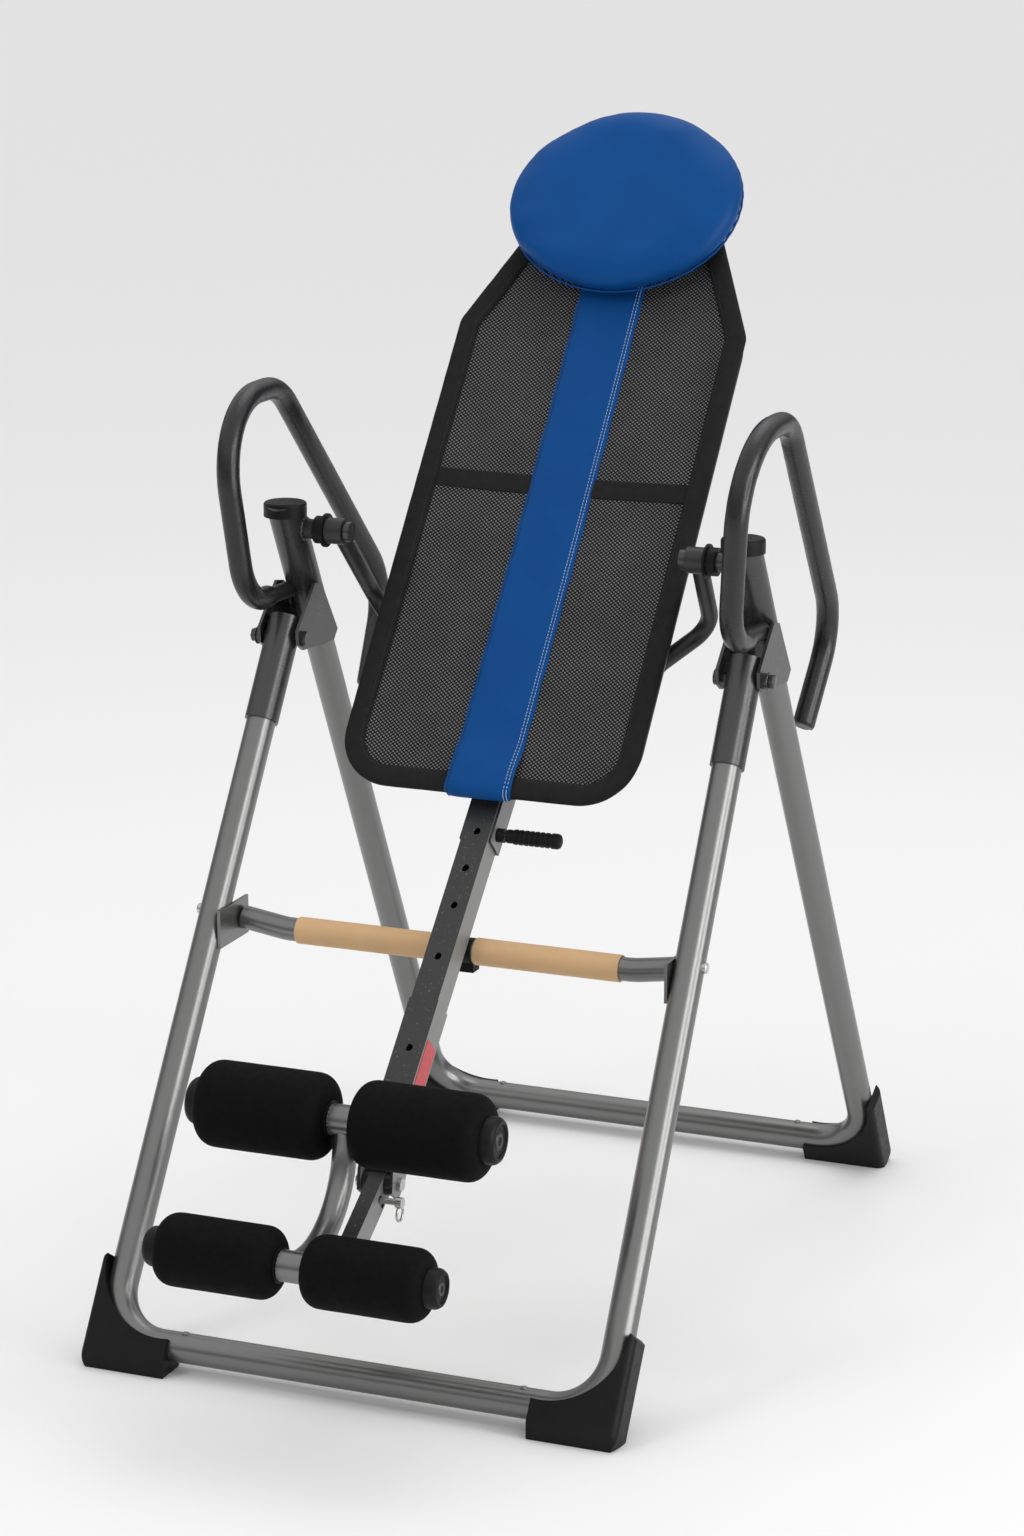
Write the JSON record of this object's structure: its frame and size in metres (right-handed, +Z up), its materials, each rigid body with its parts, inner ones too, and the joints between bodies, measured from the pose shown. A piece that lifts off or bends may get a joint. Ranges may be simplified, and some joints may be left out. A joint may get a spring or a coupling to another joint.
{
  "type": "inversion table",
  "caption": "Free-standing tilting back table on a folding A-frame with grab handles, an oval head pad, a height-adjustable boom and foam ankle rollers.",
  "frame": {"origin": "centre of the footprint box on the floor", "axes": "+X to the right seen from the front, +Y to the back, +Z up"},
  "size_m": [0.7258, 1.2664, 1.4602],
  "materials": {
    "black_binding": "matte",
    "black_foam": "matte",
    "black_mesh": "matte",
    "black_metal": "satin",
    "black_plastic": "matte",
    "black_rubber": "matte",
    "blue_padding": "satin",
    "blue_vinyl": "satin",
    "boom_grey": "satin",
    "painted_charcoal": "satin",
    "painted_grey": "satin",
    "red_strip": "satin",
    "tan_foam": "matte",
    "zinc": "polished"
  },
  "bodies": {
    "rear_frame": {"handle_grip_left": "black_foam", "handle_grip_right": "black_foam", "handle_tube_left": "black_metal", "handle_tube_right": "black_metal", "hinge_plates": "painted_charcoal", "pivot_axles": "painted_charcoal", "pivot_cups": "black_plastic", "post_caps": "black_plastic", "post_rings": "black_rubber", "post_sleeves": "painted_charcoal", "rear_boot_left": "black_plastic", "rear_boot_right": "black_plastic", "rear_floor_bar": "painted_grey", "rear_leg_left": "painted_grey", "rear_leg_right": "painted_grey"},
    "front_frame": {"crossbar": "painted_grey", "crossbar_bolts": "zinc", "crossbar_brackets": "painted_grey", "crossbar_grips": "tan_foam", "front_boot_left": "black_plastic", "front_boot_right": "black_plastic", "front_floor_bar": "painted_grey", "front_leg_left": "painted_grey", "front_leg_right": "painted_grey", "front_leg_sleeves": "painted_charcoal", "hinge_bolts": "zinc", "stop_bumper": "black_rubber"},
    "bed": {"backrest_border": "black_binding", "backrest_mesh": "black_mesh", "backrest_straps": "black_binding", "backrest_stripe": "blue_vinyl", "bed_crossmembers": "black_metal", "bed_rails": "black_metal", "boom_receiver": "boom_grey", "head_pad": "blue_padding", "head_pad_board": "black_plastic", "pin_housing": "black_plastic", "pivot_arm_left": "black_metal", "pivot_arm_right": "black_metal", "pivot_eyes": "black_metal", "receiver_hangers": "boom_grey"},
    "boom": {"ankle_bolt": "zinc", "ankle_cheeks": "boom_grey", "boom_sleeve": "boom_grey", "boom_tube": "boom_grey", "height_indicator": "red_strip"},
    "height_pin": {"height_pin": "zinc", "height_pin_grip": "black_rubber"},
    "ankle_frame": {"ankle_bow": "painted_grey", "ankle_link": "boom_grey", "roller_axles": "zinc"},
    "ankle_pin": {"ankle_pin": "zinc"},
    "upper_roller_left": {"upper_roller_foam_left": "black_foam", "upper_roller_hub_left": "black_plastic"},
    "upper_roller_right": {"upper_roller_foam_right": "black_foam", "upper_roller_hub_right": "black_plastic"},
    "lower_roller_left": {"lower_roller_foam_left": "black_foam", "lower_roller_hub_left": "black_plastic"},
    "lower_roller_right": {"lower_roller_foam_right": "black_foam", "lower_roller_hub_right": "black_plastic"}
  },
  "joints": [
    {"name": "frame_fold", "type": "hinge", "parent": "rear_frame", "child": "front_frame", "pos_m": [0, 0.0688, 0.814], "axis": [1, 0, 0], "range_deg": [0, 22]},
    {"name": "bed_tilt", "type": "hinge", "parent": "rear_frame", "child": "bed", "pos_m": [0, 0.0898, 0.955], "axis": [-1, 0, 0], "range_deg": [0, 125]},
    {"name": "height_adjust", "type": "slide", "parent": "bed", "child": "boom", "axis": [0, -0.7009, -0.7132], "range_m": [0, 0.1]},
    {"name": "height_pin_pull", "type": "slide", "parent": "bed", "child": "height_pin", "axis": [1, 0, 0], "range_m": [0, 0.01], "stiffness_N_per_m": 900, "springref_m": -0.006},
    {"name": "ankle_tilt", "type": "hinge", "parent": "boom", "child": "ankle_frame", "pos_m": [0, -0.34067, 0.24753], "axis": [-1, 0, 0], "range_deg": [0, 18]},
    {"name": "ankle_pin_pull", "type": "slide", "parent": "boom", "child": "ankle_pin", "axis": [1, 0, 0], "range_m": [0, 0.008], "stiffness_N_per_m": 700, "springref_m": -0.006},
    {"name": "upper_roller_left_spin", "type": "hinge", "parent": "ankle_frame", "child": "upper_roller_left", "pos_m": [0, -0.4432, 0.36], "axis": [1, 0, 0], "continuous": true},
    {"name": "upper_roller_right_spin", "type": "hinge", "parent": "ankle_frame", "child": "upper_roller_right", "pos_m": [0, -0.4432, 0.36], "axis": [1, 0, 0], "continuous": true},
    {"name": "lower_roller_left_spin", "type": "hinge", "parent": "ankle_frame", "child": "lower_roller_left", "pos_m": [0, -0.5892, 0.227], "axis": [1, 0, 0], "continuous": true},
    {"name": "lower_roller_right_spin", "type": "hinge", "parent": "ankle_frame", "child": "lower_roller_right", "pos_m": [0, -0.5892, 0.227], "axis": [1, 0, 0], "continuous": true}
  ]
}
